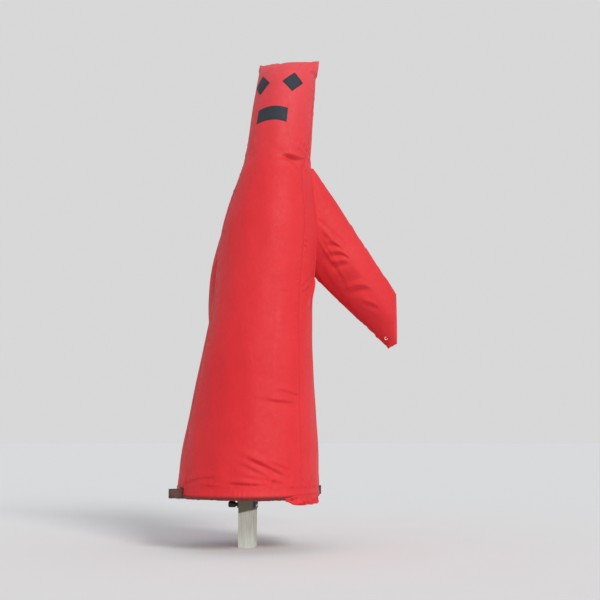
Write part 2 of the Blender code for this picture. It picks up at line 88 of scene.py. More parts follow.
THICKNESS = (  # the sleeves': distance out, half thickness
    (-0.06, 0.072), (0.0, 0.075), (0.10, 0.078), (0.23, 0.071), (0.364, 0.050),
)
# for each arm: the directions of its root and of its first length, its curl in degrees a metre,
# and how full it is
ARMS = {"left": (20, 20, 0, 1.0), "right": (138, 154, -140, 0.8)}
EYE_HALF = (20.5, 0.050)  # degrees round the head, and height; so are the next line's
EYES = {"left": (28, 2.181), "right": (-37, 2.178)}
MOUTH_ANGLE = (-34, 24)
MOUTH_Z = (1.981, 2.052)
MOUTH_DROOP = 0.010
FLAP_ANGLE = (44, 86)
TAIL_DROP = 0.024

# ---- sizes that only the looks need ----

CLOTH = 0.0010
HEM_CLOTH = 0.0012
CLOTH_RIBS = (0.0055, 0.13)  # the pitch of the woven grid, and the ribs' share of it
ARM_ROUND = 0.16  # metres of a sleeve's cloth for each radian round it
SLEEVE_LENS = 1.28  # 1 would give the sleeves an elliptical section, and 2 a diamond
HEM_TAIL = 0.035  # the hem's stitch line, above the hoop's middle
HEM_ROUND = 0.0155  # the hem's roll round the hoop
BODY_FOOT = HOOP_Z + 0.0315
NECK_SPLIT = 1.838  # the body's piece ends here and the head's begins; real cloth runs on
DENT = (0.124, 1.776)  # round the sock and up: the hollow under the left of the chin
COLUMNS = 360
SEAM_WIDTH = 0.009
PATCH_LIFT = 0.0012
EYELET = (0.0065, 0.0019)  # radius, and that of its rolled rim
FLOOR_REACH = 150.0

# ---- curves and folds ----


def smooth_through(points, x):
    """A smooth curve through (x, y) points, held level beyond them."""
    xs, ys = np.array(points, float).T
    slopes = np.empty_like(ys)
    slopes[1:-1] = (ys[2:] - ys[:-2]) / (xs[2:] - xs[:-2])
    slopes[0] = (ys[1] - ys[0]) / (xs[1] - xs[0])
    slopes[-1] = (ys[-1] - ys[-2]) / (xs[-1] - xs[-2])
    x = np.clip(x, xs[0], xs[-1])
    i = np.clip(np.searchsorted(xs, x) - 1, 0, len(xs) - 2)
    span = xs[i + 1] - xs[i]
    t = (x - xs[i]) / span
    return (
        (2 * t**3 - 3 * t**2 + 1) * ys[i] + (t**3 - 2 * t**2 + t) * span * slopes[i]
        + (3 * t**2 - 2 * t**3) * ys[i + 1] + (t**3 - t**2) * span * slopes[i + 1]
    )


def bell(x, width):
    return np.exp(-((x / width) ** 2))


def ease(x):
    """0 below 0, 1 above 1, and smooth between."""
    x = np.clip(x, 0.0, 1.0)
    return x * x * (3 - 2 * x)


def waves(points, size, seed, stretch=(1, 1, 1), count=9):
    """A soft unevenness from -1 to 1 or so, with lumps of about that size."""
    draw = np.random.default_rng(seed)
    total = np.zeros(points.shape[:-1])
    for _ in range(count):
        way = draw.normal(size=3)
        way /= np.linalg.norm(way)
        way = way / np.array(stretch) * 2 * math.pi / (size * draw.uniform(0.7, 1.5))
        total += np.sin(points @ way + draw.uniform(0, 2 * math.pi))
    return total / math.sqrt(count)


def crease(s, z, start, end, width, height):
    """A ridge with a valley beside it, from one (s, z) place on the cloth to another."""
    (s0, z0), (s1, z1) = start, end
    long = math.hypot(s1 - s0, z1 - z0)
    along = ((s - s0) * (s1 - s0) + (z - z0) * (z1 - z0)) / long
    off = ((s - s0) * (z1 - z0) - (z - z0) * (s1 - s0)) / long
    share = np.clip(along / long, 0, 1)
    past = along - share * long
    fade = np.sqrt(np.sin(math.pi * np.clip(share, 0.02, 0.98))) * bell(past, width)
    return height * fade * (bell(off, width) - 0.7 * bell(off - 1.5 * width, width))


# ---- the sock's surface ----


def bow(z):
    """The middle of the sock at a height."""
    rise = np.maximum(z - HOOP_Z, 0.0)
    return BOW_X[0] * rise + BOW_X[1] * rise**2, BOW_Y[0] * rise + BOW_Y[1] * rise**2


def plain_point(angle, z, lift=0.0):
    """The sock's smooth surface."""
    wide = smooth_through(GIRTH, z)
    dome = np.clip((z - CROWN) / (HEAD_TOP - CROWN), 0, 1)
    deep = np.maximum(wide * np.sqrt(np.clip(1 - dome**2, 0, 1)), CROWN_EDGE)
    x, y = bow(z)
    wide, deep = wide + lift, deep + lift
    return np.stack([x + wide * np.sin(angle), y - deep * np.cos(angle), z], axis=-1)


def seam_pucker(off, z, span, seed, reach=0.035, depth=0.004):
    """A seam pulls the cloth in, and short folds run out from it; off is the distance from it."""
    draw = np.random.default_rng(seed)
    total = -depth * bell(off, 0.010)
    at = span[0]
    while at < span[1]:
        side = draw.choice((-1, 1))
        long = draw.uniform(0.5, 1.3) * reach
        drop = draw.uniform(-0.4, 0.4) * long
        width, height = draw.uniform(0.0045, 0.0075), draw.uniform(0.3, 1.0) * depth
        total += crease(off, z, (side * 0.002, at), (side * long, at + drop), width, height)
        at += draw.uniform(0.010, 0.026)
    return total


def hem_folds(s, z):
    """Gathers above the hem, and the long slack folds over the front of it."""
    draw = np.random.default_rng(11)
    total = np.zeros_like(s)
    for _ in range(64):
        at = draw.uniform(-1.0, 1.0)
        tall = draw.uniform(0.02, 0.07)
        lean = draw.uniform(-0.3, 0.3) * tall
        start, end = (at, BODY_FOOT - 0.01), (at + lean, BODY_FOOT + tall)
        total += crease(s, z, start, end, draw.uniform(0.006, 0.010), draw.uniform(0.001, 0.0028))
    slack = (
        (-0.16, 0.290, 0.02, 0.284, 0.010, 0.0050), (-0.06, 0.306, 0.17, 0.292, 0.011, 0.0060),
        (-0.20, 0.318, -0.02, 0.330, 0.012, 0.0040), (0.05, 0.334, 0.24, 0.300, 0.013, 0.0045),
        (0.03, 0.392, 0.19, 0.318, 0.012, 0.0055), (0.08, 0.404, 0.25, 0.330, 0.012, 0.0060),
        (0.02, 0.430, 0.15, 0.372, 0.014, 0.0040), (0.13, 0.400, 0.27, 0.352, 0.010, 0.0045),
        (-0.27, 0.300, -0.15, 0.312, 0.011, 0.0035),
    )
    for s0, z0, s1, z1, width, height in slack:
        total += crease(s, z, (s0, z0), (s1, z1), width, height)
    return total


def armpit_folds(s, z):
    """Drag lines that run from the lower end of each arm's root, and over its top."""
    draw = np.random.default_rng(23)
    total = np.zeros_like(s)
    for side in (-1, 1):
        for place, lines, spread in ((ROOT_BOTTOM, 9, (-2.3, -0.5)), (ROOT_TOP, 5, (0.3, 1.9))):
            for _ in range(lines):
                turn = draw.uniform(*spread)
                long = draw.uniform(0.08, 0.22)
                root = side * (0.40 if place == ROOT_BOTTOM else 0.30)
                way = (-side * math.cos(turn), math.sin(turn))
                start = (root + way[0] * 0.02, place + way[1] * 0.02)
                end = (root + way[0] * long, place + way[1] * long)
                size = draw.uniform(0.007, 0.013), draw.uniform(0.002, 0.0045)
                total += crease(s, z, start, end, *size)
    return total


def neck_folds(s, z):
    """Where the head's tube is set into the shoulders the cloth is gathered."""
    draw = np.random.default_rng(31)
    total = np.zeros_like(s)
    for _ in range(22):
        at = draw.uniform(-0.5, 0.5)
        tall = draw.uniform(0.03, 0.09)
        start = (at, NECK_SPLIT + draw.uniform(-0.04, 0.03))
        end = (at + draw.uniform(-0.4, 0.4) * tall, start[1] + tall)
        total += crease(s, z, start, end, draw.uniform(0.007, 0.012), draw.uniform(0.0008, 0.0022))
    off, up = s - DENT[0], z - DENT[1]
    total += -0.019 * bell(off + 0.8 * up, 0.050) * bell(up + 0.35 * off, 0.024)
    total += crease(off, up, (-0.085, 0.032), (0.075, 0.030), 0.012, 0.0065)
    total += crease(off, up, (-0.055, 0.008), (0.055, -0.046), 0.014, 0.0075)
    return total


def seam_angle(z):
    """The side seams: well forward on the body, and at the crown's ends on the head."""
    return SIDE_SEAM + (0.5 * math.pi - SIDE_SEAM) * ease((z - 1.66) / 0.34)


def crown_folds(s, z):
    """Gathers that run down from the seam across the crown."""
    draw = np.random.default_rng(44)
    total = np.zeros_like(s)
    for _ in range(34):
        at = draw.uniform(-math.pi, math.pi) * 0.145
        start, end = (at, HEAD_TOP), (at * 0.97, HEAD_TOP - draw.uniform(0.03, 0.09))
        total += crease(s, z, start, end, draw.uniform(0.006, 0.011), draw.uniform(0.001, 0.004))
    return total


def sock_lift(angle, z):
    """How far the cloth stands off the sock's smooth surface."""
    girth = smooth_through(GIRTH, z)
    s = angle * girth
    place = plain_point(angle, z)
    near_crown = ease((HEAD_TOP - z) / 0.08)
    total = 0.0032 * waves(place, 0.34, 3, (1, 1, 1.9)) * (0.3 + 0.7 * near_crown)
    total += 0.0011 * waves(place, 0.09, 4, (1, 1, 2.6)) * near_crown
    for side, seed in ((1, 5), (-1, 6)):
        off = s - side * seam_angle(z) * girth
        total += seam_pucker(off, z, (BODY_FOOT, HEAD_TOP), seed, 0.034, 0.0028)
    total += hem_folds(s, z) * ease((z - BODY_FOOT) / 0.02 + 0.25)
    total += armpit_folds(s, z) + neck_folds(s, z) + crown_folds(s, z)
    total += crease(s, z, (0.10, 0.655), (0.27, 0.640), 0.012, 0.0045)
    total += crease(s, z, (0.16, 0.700), (0.28, 0.676), 0.011, 0.0035)
    foot, top = ease((z - BODY_FOOT) / 0.012 + 0.15), ease((HEAD_TOP - z) / 0.012 + 0.2)
    return total * foot * top


def sock_point(angle, z, lift=0.0):
    """The cloth's outer surface."""
    angle, z = np.broadcast_arrays(np.asarray(angle, float), np.asarray(z, float))
    turned = (angle + math.pi) % (2 * math.pi) - math.pi
    return shape_crown(plain_point(angle, z, sock_lift(turned, z) + lift), turned, z)


def shape_crown(points, angle, z):
    """Lifts the crown's right corner, dips its edge and pulls its left end out into an ear."""
    near = ease((z - 2.235) / (HEAD_TOP - 2.235))
    side = np.sin(angle)
    right, left = np.clip(-side, 0, 1) ** 4, np.clip(side, 0, 1) ** 6
    points = points.copy()
    ear = left * ease((z - 2.250) / 0.022)
    points[..., 0] += 0.010 * ear - 0.005 * right * near**2
    points[..., 2] += 0.004 * left * near**2 + 0.005 * right * near**3
    points[..., 2] -= 0.006 * bell(side + 0.15, 0.09) * near**3
    return points


# ---- mesh helpers ----


def new_piece(name, verts, faces, mat):
    mesh = bpy.data.meshes.new(name)
    mesh.from_pydata([tuple(v) for v in verts], [], faces)
    mesh.materials.append(mat)
    mesh.shade_smooth()
    piece = bpy.data.objects.new(name, mesh)
    bpy.context.scene.collection.objects.link(piece)
    return piece


def grid_piece(name, points, mat, wraps=False, keep=None):
    """A cloth surface through rows of points; its UV map is in metres along and up the cloth."""
    rows, columns = points.shape[:2]
    faces = []
    corners = []
    wide = columns if wraps else columns - 1
    steps = np.linalg.norm(np.diff(points, axis=1, append=points[:, :1]), axis=2).mean(axis=0)
    across = np.concatenate([[0.0], np.cumsum(steps)])
    climbs = np.linalg.norm(np.diff(points, axis=0), axis=2).mean(axis=1)
    up = np.concatenate([[0.0], np.cumsum(climbs)])
    for r in range(rows - 1):
        for c in range(wide):
            d = (c + 1) % columns
            if keep is not None and not keep[r, c]:
                continue
            low, high = r * columns, (r + 1) * columns
            faces.append((low + c, low + d, high + d, high + c))
            corners += [
                (across[c], up[r]), (across[c + 1], up[r]),
                (across[c + 1], up[r + 1]), (across[c], up[r + 1]),
            ]
    piece = new_piece(name, points.reshape(-1, 3), faces, mat)
    layer = piece.data.uv_layers.new(name="cloth")
    layer.data.foreach_set("uv", np.array(corners, np.float32).ravel())
    drop_loose(piece)
    return piece


@contextmanager
def edited(piece):
    """Opens a piece's mesh for editing, and writes it back."""
    made = bmesh.new()
    made.from_mesh(piece.data)
    yield made
    made.to_mesh(piece.data)
    made.free()


def drop_loose(piece):
    with edited(piece) as made:
        loose = [v for v in made.verts if not v.link_faces]
        bmesh.ops.delete(made, geom=loose, context="VERTS")


def close_ends(piece, sides=0):
    """Fills a piece's open ends and turns its faces outwards."""
    with edited(piece) as made:
        bmesh.ops.holes_fill(made, edges=made.edges, sides=sides)
        bmesh.ops.recalc_face_normals(made, faces=made.faces)


def thicken(piece, thick=CLOTH, offset=-1.0):
    """Gives a cloth surface its thickness, with a crisp rim that does not bend the shading."""
    with edited(piece) as made:
        for edge in made.edges:
            if edge.is_boundary:
                edge.smooth = False
    solid = piece.modifiers.new("thickness", "SOLIDIFY")
    solid.thickness = thick
    solid.offset = offset


def tube_piece(name, path, radius, mat, closed=False, sides=10):
    """A round tube along points."""
    if closed:
        ahead, behind = np.roll(path, -1, axis=0), np.roll(path, 1, axis=0)
    else:
        ahead, behind = np.vstack([path[1:], path[-1:]]), np.vstack([path[:1], path[:-1]])
    along = ahead - behind
    along /= np.linalg.norm(along, axis=1, keepdims=True)
    guide = np.array([0.0, 0.0, 1.0])
    if abs(along[:, 2]).max() > 0.95:
        guide = np.array([0.577, 0.577, 0.577])
    side = np.cross(along, guide)
    side /= np.linalg.norm(side, axis=1, keepdims=True)
    up = np.cross(side, along)
    turn = 2 * math.pi * np.arange(sides) / sides
    ring = side[:, None] * np.cos(turn)[None, :, None] + up[:, None] * np.sin(turn)[None, :, None]
    points = path[:, None] + ring * radius
    if closed:
        points = np.concatenate([points, points[:1]])
    piece = grid_piece(name, points, mat, wraps=True)
    if not closed:
        close_ends(piece, sides)
        return piece
    with edited(piece) as made:
        bmesh.ops.remove_doubles(made, verts=made.verts, dist=1e-6)
        bmesh.ops.recalc_face_normals(made, faces=made.faces)
    return piece


# ---- materials ----


class Nodes:
    """A short way to write a material's nodes."""

    def __init__(self, name):
        self.mat = bpy.data.materials.new(name)
        self.mat.use_nodes = True
        self.tree = self.mat.node_tree
        self.shader = self.tree.nodes["Principled BSDF"]

    def add(self, kind, inputs=None, **settings):
        node = self.tree.nodes.new(kind)
        for key, value in settings.items():
            setattr(node, key, value)
        for key, value in (inputs or {}).items():
            self.put(value, node.inputs[key])
        return node

    def put(self, value, socket):
        if isinstance(value, bpy.types.NodeSocket):
            self.tree.links.new(value, socket)
        elif value is not None:
            socket.default_value = value

    def math(self, operation, a, b=None, c=None):
        node = self.add("ShaderNodeMath", operation=operation)
        for socket, value in zip(node.inputs, (a, b, c)):
            self.put(value, socket)
        return node.outputs[0]

    def mix(self, share, a, b):
        node = self.add("ShaderNodeMix", data_type="RGBA")
        self.put(share, node.inputs["Factor"])
        self.put(a, node.inputs["A"])
        self.put(b, node.inputs["B"])
        return node.outputs["Result"]

    def noise(self, place, scale, detail=3.0, rough=0.5, distortion=0.0):
        inputs = {"Vector": place, "Scale": scale, "Detail": detail, "Roughness": rough,
                  "Distortion": distortion}
        return self.add("ShaderNodeTexNoise", inputs).outputs["Fac"]

    def ramp(self, value, low, high, to_low=0.0, to_high=1.0):
        inputs = {"Value": value, "From Min": low, "From Max": high, "To Min": to_low,
                  "To Max": to_high}
        return self.add("ShaderNodeMapRange", inputs).outputs["Result"]

    def object_place(self, scale=(1, 1, 1)):
        coordinates = self.add("ShaderNodeTexCoord").outputs["Object"]
        return self.add("ShaderNodeMapping", {"Vector": coordinates, "Scale": scale}).outputs[0]

    def bump(self, height, distance, strength=1.0, after=None):
        inputs = {"Height": height, "Distance": distance, "Strength": strength, "Normal": after}
        return self.add("ShaderNodeBump", inputs).outputs["Normal"]

    def finish(self, color, roughness, normal=None, **fixed):
        self.put(color, self.shader.inputs["Base Color"])
        self.put(roughness, self.shader.inputs["Roughness"])
        self.put(normal, self.shader.inputs["Normal"])
        for key, value in fixed.items():
            self.shader.inputs[key.replace("_", " ")].default_value = value
        return self.mat


def rgba(red, green, blue):
    return (red, green, blue, 1.0)


def scaled(color, share):
    return tuple(share * part for part in color[:3]) + (1,)


def cloth_lines(n, pitch, share):
    """1 on the ribs of a grid woven into the cloth, from its UV map in metres."""
    place = n.add("ShaderNodeUVMap", uv_map="cloth").outputs[0]
    parts = n.add("ShaderNodeSeparateXYZ", {"Vector": place})
    ribs = []
    for axis in ("X", "Y"):
        cell = n.math("FRACT", n.math("DIVIDE", parts.outputs[axis], pitch))
        ribs.append(n.math("LESS_THAN", cell, share))
    return n.math("MAXIMUM", *ribs)


def ripstop(name, color, dark, faded, roughness=0.48, sheen=0.25, bands=()):
    """Woven nylon with a fine rib grid, faint creasing, uneven fading and painted shade where it
    faces down.  Each of bands is a (colour, share, from, to) that comes in between two heights;
    on the sock these bands paint light and shade in by height."""
    n = Nodes(name)
    place = n.object_place()
    ribs = cloth_lines(n, *CLOTH_RIBS)
    weave = n.noise(n.object_place((900, 900, 420)), 1.0, 1.0)
    crumple = n.noise(place, 17.0, 5.0, 0.55, 0.8)
    fine = n.noise(n.object_place((1, 1, 0.6)), 60.0, 3.0, 0.5, 0.4)
    fade = n.ramp(n.noise(place, 1.9, 3.0, 0.55), 0.36, 0.68)
    shade = n.mix(fade, color, faded)
    # painted shade: the colour goes towards the dark one on faces that point down
    facing = n.add("ShaderNodeTexCoord").outputs["Normal"]
    facing = n.add("ShaderNodeSeparateXYZ", {"Vector": facing}).outputs["Z"]
    shade = n.mix(n.ramp(facing, -0.06, -0.32, 0.0, 0.75), shade, dark)
    level = n.add("ShaderNodeSeparateXYZ", {"Vector": place}).outputs["Z"]
    for tint, most, start, end in bands:
        shade = n.mix(n.ramp(level, start, end, 0.0, most), shade, tint)
    shade = n.mix(n.ramp(crumple, 0.35, 0.75, 0.0, 0.16), shade, dark)
    shade = n.mix(n.math("MULTIPLY", ribs, 0.16), shade, dark)
    height = n.math("ADD", n.math("MULTIPLY", crumple, 1.0), n.math("MULTIPLY", fine, 0.22))
    normal = n.bump(height, 0.006, 0.55)
    normal = n.bump(n.math("ADD", ribs, n.math("MULTIPLY", weave, 0.5)), 0.00025, 0.5, normal)
    rough = n.ramp(fine, 0.3, 0.7, roughness - 0.06, roughness + 0.10)
    return n.finish(
        shade, rough, normal, Sheen_Weight=sheen, Sheen_Roughness=0.45,
        Specular_IOR_Level=0.30,
    )


def stitched_tape(name, color, thread, rows, pitch=0.0045, long=0.62, width=0.0011):
    """Seam tape with rows of stitches, each at a distance up the UV map in metres."""
    n = Nodes(name)
    place = n.add("ShaderNodeUVMap", uv_map="cloth").outputs[0]
    parts = n.add("ShaderNodeSeparateXYZ", {"Vector": place})
    dash = n.math("LESS_THAN", n.math("FRACT", n.math("DIVIDE", parts.outputs["Y"], pitch)), long)
    marks = None
    for row in rows:
        off = n.math("ABSOLUTE", n.math("SUBTRACT", parts.outputs["X"], row))
        line = n.math("MULTIPLY", n.math("LESS_THAN", off, width / 2), dash)
        marks = line if marks is None else n.math("MAXIMUM", marks, line)
    fuzz = n.noise(n.object_place(), 140.0, 3.0)
    soft = n.noise(n.object_place(), 22.0, 4.0)
    base = n.mix(n.ramp(soft, 0.3, 0.7, 0.0, 0.5), color, scaled(color, 0.75))
    shade = n.mix(marks, base, thread)
    normal = n.bump(n.math("ADD", marks, n.math("MULTIPLY", fuzz, 0.4)), 0.0002)
    return n.finish(shade, n.ramp(fuzz, 0.3, 0.7, 0.5, 0.68), normal, Specular_IOR_Level=0.30)


def timber(name, light, dark, grain, cast_shadow=None, rings=70.0):
    """Sawn wood with its grain along one axis, and if asked a painted shadow: a dark band above a
    slanted line.
    """
    n = Nodes(name)
    long = [1.0, 1.0, 1.0]
    long[grain] = 0.06
    place = n.object_place(tuple(long))
    figure = n.noise(place, 16.0, 4.0, 0.6, 1.4)
    fibres = n.noise(place, 190.0, 4.0, 0.65)
    bands = n.math("FRACT", n.math("MULTIPLY", figure, rings / 10))
    bands = n.math("ABSOLUTE", n.math("SUBTRACT", bands, 0.5))
    blotch = n.noise(n.object_place(), 14.0, 4.0, 0.6)
    shade = n.mix(n.ramp(bands, 0.05, 0.45), dark, light)
    shade = n.mix(n.ramp(fibres, 0.40, 0.75, 0.0, 0.45), shade, dark)
    shade = n.mix(n.ramp(blotch, 0.45, 0.75, 0.0, 0.35), shade, scaled(light, 1.1))
    # painted shadow: everything above a slanted line darkens, where the sock's shadow falls on the
    # post's top
    if cast_shadow:
        color, height, slope, soft = cast_shadow
        where = n.add("ShaderNodeSeparateXYZ", {"Vector": n.object_place()})
        climb = n.math("MULTIPLY", where.outputs["X"], slope)
        level = n.math("SUBTRACT", where.outputs["Z"], climb)
        level = n.math("ADD", level, n.math("MULTIPLY", n.math("SUBTRACT", blotch, 0.5), 0.010))
        shadowed = n.ramp(level, height - soft, height + soft)
        shade = n.mix(n.math("MULTIPLY", shadowed, 0.9), shade, color)
    height = n.math("ADD", n.math("MULTIPLY", bands, 0.6), fibres)
    return n.finish(shade, n.ramp(fibres, 0.3, 0.7, 0.62, 0.85), n.bump(height, 0.0012, 0.6))


def painted(name, color, chip, roughness=0.42):
    """Paint with a few chips and a dusty unevenness."""
    n = Nodes(name)
    place = n.object_place()
    chips = n.ramp(n.noise(place, 60.0, 6.0, 0.7), 0.66, 0.70)
    dust = n.noise(place, 25.0, 4.0)
    shade = n.mix(n.ramp(dust, 0.4, 0.8, 0.0, 0.3), color, rgba(0.10, 0.095, 0.085))
    shade = n.mix(chips, shade, chip)
    normal = n.bump(n.noise(place, 350.0, 2.0), 0.0003, 0.4, n.bump(chips, 0.0004, -0.5))
    return n.finish(shade, n.ramp(dust, 0.3, 0.8, roughness - 0.08, roughness + 0.2), normal)


def bare_metal(name, color, roughness=0.32):
    """Zinc plate with a spangle and a little grime."""
    n = Nodes(name)
    place = n.object_place()
    spangle = n.add("ShaderNodeTexVoronoi", {"Vector": place, "Scale": 240.0}).outputs["Distance"]
    grime = n.noise(place, 70.0, 5.0, 0.65)
    shade = n.mix(n.ramp(spangle, 0.0, 0.6, 0.0, 0.25), color, scaled(color, 0.8))
    shade = n.mix(n.ramp(grime, 0.55, 0.75, 0.0, 0.55), shade, rgba(0.16, 0.11, 0.07))
    rough = n.ramp(grime, 0.3, 0.8, roughness - 0.08, roughness + 0.25)
    return n.finish(shade, rough, n.bump(grime, 0.0002, 0.5), Metallic=1.0)


def moulded(name, color, roughness=0.45):
    """Moulded plastic with a fine texture and scuffs."""
    n = Nodes(name)
    place = n.object_place()
    fine = n.noise(place, 420.0, 2.0)
    scuff = n.noise(n.object_place((1, 1, 4)), 30.0, 5.0, 0.65)
    lighter = tuple(min(1.0, 1.5 * c + 0.02) for c in color[:3]) + (1,)
    shade = n.mix(n.ramp(scuff, 0.55, 0.75, 0.0, 0.5), color, lighter)
    rough = n.ramp(scuff, 0.3, 0.7, roughness, roughness + 0.2)
    return n.finish(shade, rough, n.bump(fine, 0.0002, 0.5))


RED_CLOTH = (
    rgba(0.78, 0.022, 0.030), rgba(0.56, 0.010, 0.018), rgba(0.85, 0.034, 0.042), 0.52, 0.06,
)
# painted highlight: a lighter, pinker red that comes in from 1.70 m up to the crown
PAINTED_LIGHT_TOP = (rgba(0.90, 0.105, 0.125), 0.70, 1.70, 2.30)
# painted shade: a dark maroon band over the lower half of the hem's roll round the hoop
PAINTED_HEM_SHADE = (rgba(0.135, 0.022, 0.022), 0.90, HOOP_Z + 0.007, HOOP_Z - 0.004)
RED = ripstop("red_ripstop", *RED_CLOTH, bands=(PAINTED_LIGHT_TOP,))
HEM_RED = ripstop("hem_ripstop", *RED_CLOTH, bands=(PAINTED_HEM_SHADE,))
CHARCOAL = ripstop(
    "charcoal_cloth", rgba(0.030, 0.036, 0.050), rgba(0.014, 0.016, 0.022),
    rgba(0.045, 0.052, 0.068), 0.66, 0.08,
)
RED_TAPE = stitched_tape(
    "red_seam_tape", rgba(0.79, 0.024, 0.032), rgba(0.74, 0.030, 0.038),
    (0.25 * SEAM_WIDTH, 0.75 * SEAM_WIDTH),
)
POST_WOOD = timber(
    "weathered_post_painted_shadow", rgba(0.91, 0.96, 0.86), rgba(0.77, 0.82, 0.70), 2,
    # painted shadow on the post's top: its colour, the height, slope and softness of its edge
    (rgba(0.125, 0.128, 0.080), 0.157, 0.21, 0.003),
)
BAR_WOOD = timber("stained_bar", rgba(0.15, 0.062, 0.047), rgba(0.065, 0.025, 0.020), 0)
BLACK_PAINT = painted("black_paint", rgba(0.016, 0.015, 0.013), rgba(0.20, 0.12, 0.08))
ZINC = bare_metal("zinc_plate", rgba(0.62, 0.62, 0.60))
BRASS = bare_metal("eyelet_plate", rgba(0.78, 0.76, 0.70), 0.25)
PIPE = moulded("brown_pipe", rgba(0.20, 0.085, 0.065), 0.38)
PLASTIC = moulded("black_plastic", rgba(0.012, 0.012, 0.012))
NYLON = moulded("white_nylon", rgba(0.62, 0.60, 0.54))
THREAD = painted("grey_thread", rgba(0.055, 0.060, 0.075), rgba(0.09, 0.09, 0.10), 0.6)
THREAD_RED = painted("red_thread", rgba(0.50, 0.030, 0.040), rgba(0.62, 0.10, 0.10), 0.6)

# ---- the sock's body and head ----


def arm_root(side):
    turn = math.radians(ARMS[side][0])
    return (
        SHOULDER[0] + ROOT_REACH * math.cos(turn),
        SHOULDER[1] + ROOT_REACH * math.sin(turn),
    )


def arm_place(side, reach):
    """The arm's middle line in plan, and the direction across it, at distances from its hinge."""
    _, leaves, curl, _ = ARMS[side]
    x, y = arm_root(side)
    start, rate = math.radians(leaves), math.radians(curl)
    heading = start + rate * reach
    if curl:
        x = x + (np.sin(heading) - math.sin(start)) / rate
        y = y - (np.cos(heading) - math.cos(start)) / rate
    else:
        x = x + reach * math.cos(start)
        y = y + reach * math.sin(start)
    level = np.zeros_like(reach)
    middle = np.stack([x + level, y + level, level], axis=-1)
    return middle, np.stack([-np.sin(heading), np.cos(heading), level], axis=-1)


def arm_plain(side, reach, turn, lift=0.0):
    """The sleeve's smooth surface: turn 0 is its side, and a quarter turn its upper edge."""
    out = np.maximum(reach, 0.0)
    top = ROOT_TOP + TOP_SLOPE * out
    bottom = ROOT_BOTTOM + BOTTOM_SLOPE * np.minimum(out, SLEEVE_CUT)
    half = ARMS[side][3] * smooth_through(THICKNESS, reach)
    closing = np.clip((reach - SLEEVE_CUT) / (SLEEVE_END - SLEEVE_CUT), 0, 1)
    bottom = bottom + 0.020 * closing
    half = half * (1 - 0.86 * closing**2)
    middle, across = arm_place(side, reach)
    flat = np.sign(np.cos(turn)) * np.abs(np.cos(turn)) ** SLEEVE_LENS
    level = np.sign(np.sin(turn)) * np.abs(np.sin(turn)) ** SLEEVE_LENS
    point = middle + across * ((half + lift) * flat)[..., None]
    point[..., 2] += (top + bottom) / 2 + ((top - bottom) / 2 + lift) * level
    return point


ARM_WRINKLES = (  # from and to, each as a place round the sleeve and a distance out; width, height
    (0.550, 0.050, 0.478, 0.122, 0.008, 0.0045), (0.576, 0.060, 0.486, 0.156, 0.008, 0.0058),
    (0.602, 0.074, 0.520, 0.152, 0.008, 0.0046), (0.636, 0.145, 0.515, 0.255, 0.010, 0.0048),
    (0.610, 0.225, 0.555, 0.300, 0.009, 0.0035),
)


def arm_lift(side, reach, turn):
    """The sleeve's folds: puckers at its two edge seams and drag lines from the armpit."""
    place = arm_plain(side, reach, turn)
    total = 0.0030 * waves(place, 0.20, 51 + len(side))
    draw = np.random.default_rng(60 + len(side))
    s = turn * ARM_ROUND
    for edge in (0.5, -0.5, 1.5):
        seam = edge * math.pi * ARM_ROUND
        total += -0.0022 * bell(s - seam, 0.010)
        for _ in range(16):
            at = draw.uniform(0.0, SLEEVE_END)
            way = draw.choice((-1, 1))
            end = (seam + way * draw.uniform(0.02, 0.055), at + draw.uniform(-0.02, 0.02))
            size = draw.uniform(0.005, 0.008), draw.uniform(0.0012, 0.0035)
            total += crease(s, reach, (seam + way * 0.002, at), end, *size)
    for base in (0.0, math.pi):
        for _ in range(9):
            turn0 = base + draw.uniform(-1.2, 0.6) * (1 if base == 0 else -1)
            at = draw.uniform(-0.01, 0.05)
            end = (turn0 * ARM_ROUND + draw.uniform(-0.06, 0.06), at + draw.uniform(0.06, 0.18))
            size = draw.uniform(0.008, 0.014), draw.uniform(0.0010, 0.0026)
            total += crease(s, reach, (turn0 * ARM_ROUND, at), end, *size)
    for s0, reach0, s1, reach1, width, height in ARM_WRINKLES:
        total += crease(s, reach, (s0, reach0), (s1, reach1), width, height)
    pinch = -0.006 * bell(reach, 0.018)
    return (total + pinch) * ease((SLEEVE_END - reach) / 0.03)


def arm_point(side, reach, turn, lift=0.0):
    reach, turn = np.broadcast_arrays(np.asarray(reach, float), np.asarray(turn, float))
    wrapped = (turn + 0.5 * math.pi) % (2 * math.pi) - 0.5 * math.pi
    return arm_plain(side, reach, turn, arm_lift(side, reach, wrapped) + lift)


def root_line(side, turns):
    """How far from its hinge each line along the sleeve meets the body."""
    low, high = np.full(turns.shape, -0.16), np.full(turns.shape, 0.06)
    for _ in range(40):
        middle = (low + high) / 2
        point = arm_plain(side, middle, turns)
        x, y = bow(point[..., 2])
        off = np.hypot(point[..., 0] - x, point[..., 1] - y)
        outside = off > smooth_through(GIRTH, point[..., 2])
        high = np.where(outside, middle, high)
        low = np.where(outside, low, middle)
    return (low + high) / 2


def in_sleeve(side, points):
    """Whether points of the body lie inside the sleeve's root."""
    _, leaves, curl, _ = ARMS[side]
    heading = math.radians(leaves - curl * 0.03)
    way = np.array([math.cos(heading), math.sin(heading)])
    off = points[..., :2] - np.array(arm_root(side))
    reach = off @ way
    aside = off @ np.array([-way[1], way[0]])
    half = ARMS[side][3] * smooth_through(THICKNESS, reach)
    tall = (ROOT_TOP - ROOT_BOTTOM) / 2
    level = (points[..., 2] - (ROOT_TOP + ROOT_BOTTOM) / 2) / tall
    power = 2 / SLEEVE_LENS
    return (np.abs(aside / half) ** power + np.abs(level) ** power < 1) & (reach > -0.14)


def sock_columns():
    return np.linspace(-math.pi, math.pi, COLUMNS, endpoint=False) + math.pi / COLUMNS


def flat_area(low, high):
    """The cloth that the sock takes between two heights."""
    heights = np.linspace(low, high, 200)
    return float(2 * math.pi * smooth_through(GIRTH, heights).mean() * (high - low))


